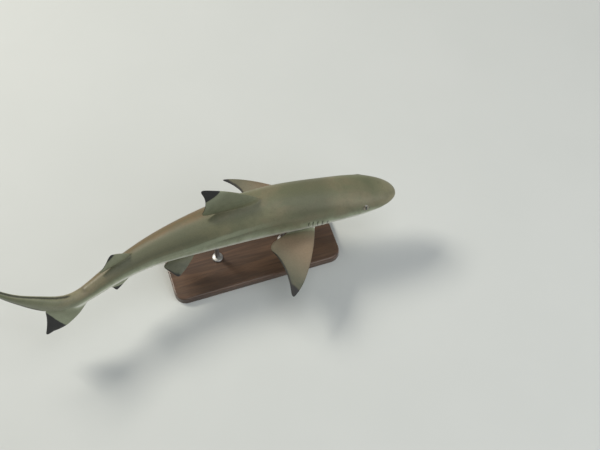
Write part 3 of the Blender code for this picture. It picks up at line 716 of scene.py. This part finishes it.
def smooth_piece(mesh, paint):
    """An object for a mesh, with its faces turned outwards and the paint's values on its points."""
    for key, values in paint.items():
        mesh.attributes.new(key, "FLOAT", "POINT").data.foreach_set("value", values.astype(np.float32))
    outward = bmesh.new()
    outward.from_mesh(mesh)
    bmesh.ops.recalc_face_normals(outward, faces=outward.faces)
    outward.to_mesh(mesh)
    outward.free()
    mesh.shade_smooth()
    return linked(mesh)


def make_skin():
    stations = row_stations()
    tube, faces, loops = body_net(stations, ring_angles(stations))
    ring = np.arctan2(tube[:, 2], tube[:, 1])
    body = spots_at(tube[:, 0], ring)
    swell, shade = relief(straightened(body), ring)
    body[:, 2] += swell * np.cos(ring)
    body[:, 3] += swell * np.sin(ring)
    paint = body_paint(body, ring, shade)
    spots, count = [body], len(body)
    for name, loop in loops.items():
        fin_spots, guide, fin_faces = fin_skin(name, body[loop], count)
        size = len(loop)
        faces += [(loop[k], loop[(k + 1) % size], count + (k + 1) % size, count + k) for k in range(size)]
        faces += fin_faces
        added = fin_paint(name, guide, paint["around"][loop])
        paint = {key: np.concatenate([values, added[key]]) for key, values in paint.items()}
        spots.append(fin_spots)
        count += len(fin_spots)
    spots = np.concatenate(spots)

    mesh = bpy.data.meshes.new("shark_skin")
    mesh.from_pydata(bent(spots), [], faces)
    rest = straightened(spots).astype(np.float32)
    mesh.attributes.new("rest", "FLOAT_VECTOR", "POINT").data.foreach_set("vector", rest.ravel())
    return smooth_piece(mesh, paint)


# ------------------------------ writing materials
class Value:
    """A socket in a finish. Arithmetic on it adds Math nodes."""

    def __init__(self, finish, socket):
        self.finish, self.socket = finish, socket

    def math(self, operation, *values):
        return self.finish.node("ShaderNodeMath", {"operation": operation}, dict(enumerate(values)))

    def __add__(self, other):
        return self.math("ADD", self, other)

    def __sub__(self, other):
        return self.math("SUBTRACT", self, other)

    def __rsub__(self, other):
        return self.math("SUBTRACT", other, self)

    def __mul__(self, other):
        return self.math("MULTIPLY", self, other)

    def __truediv__(self, other):
        return self.math("DIVIDE", self, other)

    __radd__, __rmul__ = __add__, __mul__

    def most(self, other):
        return self.math("MAXIMUM", self, other)

    def least(self, other):
        return self.math("MINIMUM", self, other)

    def power(self, exponent):
        return self.math("POWER", self, exponent)

    def wave(self):
        return self.math("SINE", self)

    def between(self, low, high):
        """0 below low and 1 above high, with a smooth step between them."""
        sockets = {"Value": self, "From Min": low, "From Max": high}
        return self.finish.node("ShaderNodeMapRange", {"interpolation_type": "SMOOTHSTEP"}, sockets)


class Finish:
    """A material whose nodes are added by calls and by arithmetic on their values."""

    def __init__(self, name):
        self.material = bpy.data.materials.new(name)
        self.material.use_nodes = True
        self.tree = self.material.node_tree
        self.shader = self.tree.nodes["Principled BSDF"]

    def node(self, kind, settings=None, sockets=None, output=0):
        made = self.tree.nodes.new(kind)
        for key, value in (settings or {}).items():
            setattr(made, key, value)
        for key, value in (sockets or {}).items():
            self.feed(made.inputs[key], value)
        return Value(self, made.outputs[output])

    def feed(self, socket, value):
        if isinstance(value, Value):
            self.tree.links.new(value.socket, socket)
        else:
            socket.default_value = (*value, 1) if socket.type == "RGBA" and len(value) == 3 else value

    def attribute(self, name, output="Fac"):
        return self.node("ShaderNodeAttribute", {"attribute_name": name}, output=output)

    def place(self):
        return self.node("ShaderNodeTexCoord", output="Object")

    def stretched(self, place, factors):
        return self.node("ShaderNodeVectorMath", {"operation": "MULTIPLY"}, {0: place, 1: factors})

    def noise(self, place, scale, detail=2.0, roughness=0.5, distortion=0.0):
        sockets = {"Vector": place, "Scale": scale, "Detail": detail}
        sockets.update({"Roughness": roughness, "Distortion": distortion})
        return self.node("ShaderNodeTexNoise", None, sockets)

    def cells(self, place, scale):
        """The distance to the nearest of many scattered points."""
        return self.node("ShaderNodeTexVoronoi", None, {"Vector": place, "Scale": scale}, "Distance")

    def mix(self, share, first, second, blend="MIX"):
        settings = {"data_type": "RGBA", "blend_type": blend}
        return self.node("ShaderNodeMix", settings, {0: share, 6: first, 7: second}, 2)

    def layered(self, colour, *layers):
        """A colour under layers of other colours, each given as (share, colour)."""
        for share, layer in layers:
            colour = self.mix(share, colour, layer)
        return colour

    def surface(self, **sockets):
        for key, value in sockets.items():
            self.feed(self.shader.inputs[key.replace("_", " ").title().replace("Ior", "IOR")], value)
        return self.material

    def relief(self, *layers):
        """Bump nodes in a chain. Each layer is (height, distance in m, strength)."""
        normal = None
        for height, distance, strength in layers:
            sockets = {"Height": height, "Distance": distance, "Strength": strength}
            if normal:
                sockets["Normal"] = normal
            normal = self.node("ShaderNodeBump", None, sockets)
        return normal


# ------------------------------ finishes
BACK_OLIVE, BACK_TAN, BACK_DUSK = (0.130, 0.142, 0.078), (0.190, 0.188, 0.108), (0.094, 0.102, 0.060)
# The last colour here is the warm tint of painted sunlight on the upper left flank.
BACK_UMBER, BRONZE, PAINTED_SUNLIGHT_TINT = (0.205, 0.160, 0.100), (0.330, 0.225, 0.115), (0.160, 0.102, 0.045)
# The last colour here darkens the fins' upper sides, partly their own tone and partly painted shade.
SNOUT_TAN, FIN_TAN, FIN_DUSK_AND_SHADE = (0.262, 0.240, 0.148), (0.250, 0.180, 0.118), (0.070, 0.075, 0.048)
BELLY_WHITE, FLANK_PALE, FLANK_GREEN = (0.66, 0.67, 0.58), (0.35, 0.39, 0.27), (0.150, 0.166, 0.104)
TIP_BLACK, HOLLOW_DARK = (0.011, 0.011, 0.012), (0.035, 0.025, 0.020)


def skin_finish():
    """Olive brown above and white below, with black fin tips and a fine, wet grain."""
    f = Finish("shark_skin")
    rest = f.attribute("rest", "Vector")
    names = "around", "black", "rim", "hollow", "fin", "ray", "span", "warm", "dusk_and_shade"
    around, black, rim, hollow, fin, ray, span, warm, dusk_and_shade = (f.attribute(name) for name in names)
    along_body = f.node("ShaderNodeSeparateXYZ", None, {0: rest}) / TOTAL_LENGTH
    leftward = f.node("ShaderNodeSeparateXYZ", None, {0: rest}, 1)
    body = 1 - fin

    def stretch(start, full, fading, end):
        """1 along a stretch of the body, fading to 0 at its ends."""
        return along_body.between(start, full) * (1 - along_body.between(fading, end))

    cloud = f.noise(rest, 14, 4, 0.55, 0.3)
    mottle = f.noise(rest, 70, 4, 0.6, 0.2)
    speckle = f.noise(rest, 420, 3, 0.6)
    grain = f.cells(rest, 1500)
    patches = f.noise(f.stretched(rest, (0.7, 1, 1)), 22, 3, 0.6, 0.4).between(0.46, 0.66)
    streaks = f.noise(f.stretched(rest, (0.22, 1, 1)), 110, 4, 0.6, 0.3).between(0.36, 0.62)
    drift = (f.noise(f.stretched(rest, (0.3, 1, 1)), 60, 4, 0.6) - 0.5) * 0.30
    fray = (f.noise(rest, 260, 3, 0.65) - 0.5) * 1.6

    bronze = stretch(0.36, 0.52, 0.74, 0.82) * around.between(0.34, 0.62)
    bronze = bronze * (1 - around.between(0.80, 1.0) * 0.6) * (0.24 + cloud.between(0.30, 0.70) * 0.30)
    # Darker saddles on the back: the one at the nape is painted shade, and the one over the loins only
    # darkens the back there.
    painted_nape_shade, loins = stretch(0.13, 0.18, 0.22, 0.29) * 0.68, stretch(0.39, 0.51, 0.64, 0.76) * 0.86
    # Painted light: a warm band of sunlight on the upper left flank only, along the middle of the body.
    painted_sunlit_sheen = stretch(0.36, 0.46, 0.70, 0.78) * around.between(0.10, 0.40) * leftward.between(-0.005, 0.009)
    painted_sunlit_sheen = painted_sunlit_sheen * (0.34 + cloud.between(0.35, 0.65) * 0.18 + streaks * 0.36)
    back = f.layered(
        f.mix(cloud.between(0.32, 0.68), BACK_OLIVE, BACK_TAN),
        (around.between(0.72, 1.0) * 0.6 * body, BACK_DUSK),
        ((1 - around.between(0.15, 0.75)) * 0.6, FLANK_GREEN),
        (bronze * body, BRONZE),
        (patches * body * 0.38, BACK_UMBER),
        ((1 - along_body.between(0.0, 0.07)) * 0.75, SNOUT_TAN),
        (mottle.between(0.45, 0.75) * 0.35, BACK_DUSK),
        (painted_nape_shade.most(loins) * around.between(0.22, 0.66) * body, BACK_DUSK),
        (along_body.between(0.70, 0.80) * 0.16, FLANK_PALE),
        # painted sunlight on the upper left flank
        (painted_sunlit_sheen * body, PAINTED_SUNLIGHT_TINT),
        (warm * 0.85, FIN_TAN),
        # painted shade on the fins' upper sides, over their own darker tone towards the tip
        (dusk_and_shade * (0.7 + mottle * 0.6), FIN_DUSK_AND_SHADE),
    )

    edge = 0.05 - along_body.between(0.0, 0.25) * 0.12 + along_body.between(0.5, 0.7) * 0.1
    level = around + (mottle - 0.5) * 0.14 + (cloud - 0.5) * 0.22 - edge
    band = around + drift - 0.40 + along_body.between(0.30, 0.64) * 0.34
    band = band / (0.10 + along_body.between(0.32, 0.64) * 0.16)
    band = (1 - (band * band).between(0.0, 1.5)) * stretch(0.26, 0.42, 0.46, 0.78) * 0.42
    ink = (black + fray).between(-1.0, 1.0)
    margin = (1 - (rim + fray * 0.35).between(0.55, 1.25)) * 0.85
    lateral = (around - 0.30 + along_body.between(0.15, 0.55) * 0.16 + (mottle - 0.5) * 0.02) * 38
    lateral = (1 - (lateral * lateral).least(1.0)) * stretch(0.15, 0.22, 0.70, 0.76) * body
    pores = f.cells(rest, 210).between(0.14, 0.07) * (1 - along_body.between(0.05, 0.12)) * 0.55
    flank = f.mix(mottle.between(0.3, 0.8) * 0.45, FLANK_PALE, BACK_TAN)
    colour = f.layered(
        back,
        ((1 - level.between(-0.14, 0.30)) * 0.9, flank),
        (band * body, FLANK_PALE),
        (1 - level.between(-0.38, -0.06), BELLY_WHITE),
        (black.between(-24, -3) * fin * (1 - dusk_and_shade) * 0.34, FLANK_PALE),
        (ink.most(margin), TIP_BLACK),
        # painted shade in the hollows: mouth, nostrils, gill slits, round the lids, the tail's pits and
        # the vent
        (hollow * 0.85, HOLLOW_DARK),
        (lateral * 0.28, BACK_DUSK),
        (pores, BACK_DUSK),
    )
    colour = f.mix(speckle.between(0.35, 0.75) * 0.12, colour, (0.06, 0.055, 0.04), "MULTIPLY")

    rays = (ray * 190 + span * 22 + (mottle - 0.5) * 9).wave() * fin
    normal = f.relief(
        (f.noise(rest, 55, 4, 0.5), 0.0020, 0.07),
        (rays * mottle.between(0.25, 0.75), 0.00008, 0.3),
        (pores + lateral * 0.5, 0.0004, -0.6),
        (speckle, 0.0004, 0.12),
        (grain, 0.0002, 0.4),
    )
    return f.surface(
        base_color=colour, roughness=0.46 + (mottle - 0.5) * 0.18 + ink * 0.05 + speckle * 0.06,
        normal=normal, coat_weight=0.11, coat_roughness=0.24, specular_ior_level=0.38,
    )


def eye_finish():
    """A pale gold and grey iris round an upright slit pupil, under a clear wet surface."""
    f = Finish("shark_eye")
    forward, up = f.attribute("forward"), f.attribute("up")
    radius = (forward * forward + up * up).power(0.5)
    angle = f.node("ShaderNodeMath", {"operation": "ARCTAN2"}, {0: up, 1: forward})
    spokes = (angle * 46 + f.noise(f.place(), 500, 3) * 5).wave() * 0.5 + 0.5
    slit = (forward * forward * 9.0 + up * up * 1.15).power(0.5)
    colour = f.layered(
        f.mix(spokes, (0.205, 0.185, 0.120), (0.265, 0.245, 0.165)),
        (f.noise(f.place(), 900, 2).between(0.4, 0.7) * 0.6, (0.11, 0.10, 0.065)),
        # painted shade: the iris darker towards its top
        (up.between(-0.1, 0.65) * 0.55, (0.07, 0.06, 0.04)),
        (radius.between(0.58, 0.76), (0.04, 0.035, 0.028)),
        (1 - slit.between(0.50, 0.60), (0.004, 0.004, 0.005)),
    )
    rough = 0.12 + radius.between(0.7, 0.95) * 0.25
    return f.surface(base_color=colour, roughness=rough, coat_weight=1.0, coat_roughness=0.03)


def wood_finish():
    """Dark stained wood with its grain along the base, under satin lacquer."""
    f = Finish("stand_base_wood")
    place = f.place()
    warp = f.noise(f.stretched(place, (2.2, 26.0, 26.0)), 1.6, 5, 0.6, 1.2)
    figure = f.noise(f.stretched(place, (5.0, 160.0, 160.0)), 2.0, 4, 0.65, 0.4)
    pores = f.noise(f.stretched(place, (60.0, 1400.0, 1400.0)), 1.0, 2, 0.5)
    colour = f.layered(
        f.mix(warp.between(0.30, 0.70), (0.052, 0.026, 0.014), (0.125, 0.066, 0.036)),
        (figure.between(0.45, 0.72) * 0.55, (0.030, 0.015, 0.009)),
        (pores.between(0.60, 0.74) * 0.6, (0.015, 0.008, 0.005)),
    )
    return f.surface(
        base_color=colour, roughness=0.34 + figure * 0.16, coat_weight=0.35, coat_roughness=0.18,
        normal=f.relief((figure, 0.0004, 0.14), (pores, 0.0002, 0.12)),
    )


def steel_finish():
    """Steel rod, brushed round its axis."""
    f = Finish("stand_rod_steel")
    place = f.place()
    rings = f.noise(f.stretched(place, (60.0, 60.0, 5200.0)), 1.0, 3, 0.6)
    smudge = f.noise(place, 90, 3, 0.6)
    colour = f.mix(rings.between(0.3, 0.7), (0.34, 0.34, 0.335), (0.47, 0.47, 0.465))
    return f.surface(
        base_color=colour, metallic=1.0, roughness=0.34 + rings * 0.14 + smudge * 0.10,
        normal=f.relief((rings, 0.0001, 0.3)),
    )


def floor_finish():
    """Plain pale paper-like floor."""
    f = Finish("floor")
    place = f.place()
    colour = f.mix(f.noise(place, 5, 3).between(0.3, 0.7), (0.535, 0.562, 0.552), (0.546, 0.572, 0.563))
    return f.surface(base_color=colour, roughness=0.75 + f.noise(place, 30, 2) * 0.1)


# ------------------------------ eyes
def make_eye(name, side):
    """An eyeball in its socket."""
    ball = bmesh.new()
    bmesh.ops.create_uvsphere(ball, u_segments=56, v_segments=40, radius=1.0)
    ball.verts.index_update()
    unit = np.array([v.co for v in ball.verts])
    faces = sorted(tuple(v.index for v in f.verts) for f in ball.faces)  # alike on each run
    ball.free()
    local = unit * EYE_SEMI_AXES - [0, 0, EYE_SUNK]
    points = EYE_MIDDLE + local @ EYE_WAYS
    points[:, 1] *= side
    spots = np.stack([points[:, 0] / TOTAL_LENGTH, 0 * points[:, 0], points[:, 1], points[:, 2]], 1)
    mesh = bpy.data.meshes.new(name)
    mesh.from_pydata(bent(spots), [], faces)
    return smooth_piece(mesh, {"forward": unit[:, 0], "up": unit[:, 1]})


# ------------------------------ putting it together
FLESH = (
    "head", "trunk", "tail_stalk", "caudal_upper_lobe", "caudal_lower_lobe",
    "first_dorsal_fin", "second_dorsal_fin", "anal_fin",
    "pectoral_fin_left", "pectoral_fin_right", "pelvic_fin_left", "pelvic_fin_right",
)


def dress_shark():
    skin = make_skin()
    skin.data.materials.append(skin_finish())
    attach(skin, "root")
    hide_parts(*FLESH)
    finish = eye_finish()
    for word, side in (("left", 1), ("right", -1)):
        eye = make_eye("shark_eye_" + word, side)
        eye.data.materials.append(finish)
        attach(eye, "root")
        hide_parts("eye_" + word)


def dress_stand():
    wood, steel = wood_finish(), steel_finish()
    for name, material in (("stand_base", wood), ("stand_rod_front", steel), ("stand_rod_rear", steel)):
        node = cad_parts[name]
        for slot in node.material_slots:
            slot.material = material


FLOOR_REACH = 6.0
LIGHTS = (  # name, place, size, power and colour
    ("key_light", (-1.5, 1.7, 2.4), 1.0, 84, (1.0, 0.94, 0.83)),
    ("fill_light", (1.4, -1.7, 1.5), 2.0, 24, (0.98, 0.99, 1.0)),
    ("top_light", (0.6, -0.3, 2.6), 1.6, 16, (1.0, 1.0, 1.0)),
)
SKY_COLOUR, SKY_STRENGTH = (0.90, 0.92, 0.94, 1), 0.30
CAMERA_AZIMUTH, CAMERA_ELEVATION, CAMERA_DISTANCE, CAMERA_LENS = 18.0, 60.0, 2.03, 72.24
AIM_FROM_SNOUT = (-0.1779, -0.0177)


def make_floor():
    mesh = bpy.data.meshes.new("floor")
    corners = [(x * FLOOR_REACH, y * FLOOR_REACH, 0) for x, y in ((-1, -1), (1, -1), (1, 1), (-1, 1))]
    mesh.from_pydata(corners, [], [(0, 1, 2, 3)])
    mesh.materials.append(floor_finish())
    floor = linked(mesh)


def pointed(place, target):
    """A matrix at place whose -Z looks at target, with its top up."""
    way = (Vector(target) - Vector(place)).to_track_quat("-Z", "Y")
    return Matrix.Translation(place) @ way.to_matrix().to_4x4()


def make_lights():
    for name, place, size, power, colour in LIGHTS:
        data = bpy.data.lights.new(name, "AREA")
        data.energy, data.size, data.color = power, size, colour
        linked(data, pointed(place, (0, 0, AXIS_HEIGHT)))
    world = bpy.data.worlds.new("studio")
    world.use_nodes = True
    sky = world.node_tree.nodes["Background"].inputs
    sky["Color"].default_value, sky["Strength"].default_value = SKY_COLOUR, SKY_STRENGTH
    bpy.context.scene.world = world
    bpy.context.scene.view_settings.view_transform = "Standard"


def make_camera():
    snout = bent([[0.0, 0.0, 0.0, SNOUT_TIP * PERCENT]])[0]
    aim = Vector((snout[0] + AIM_FROM_SNOUT[0], snout[1] + AIM_FROM_SNOUT[1], AXIS_HEIGHT))
    turn, lift = math.radians(CAMERA_AZIMUTH), math.radians(CAMERA_ELEVATION)
    way = Vector((math.sin(turn) * math.cos(lift), math.cos(turn) * math.cos(lift), -math.sin(lift)))
    data = bpy.data.cameras.new("camera")
    data.lens, data.sensor_width = CAMERA_LENS, 36.0
    bpy.context.scene.camera = linked(data, pointed(aim - way * CAMERA_DISTANCE, aim))


dress_shark()
dress_stand()
make_floor()
make_lights()
make_camera()
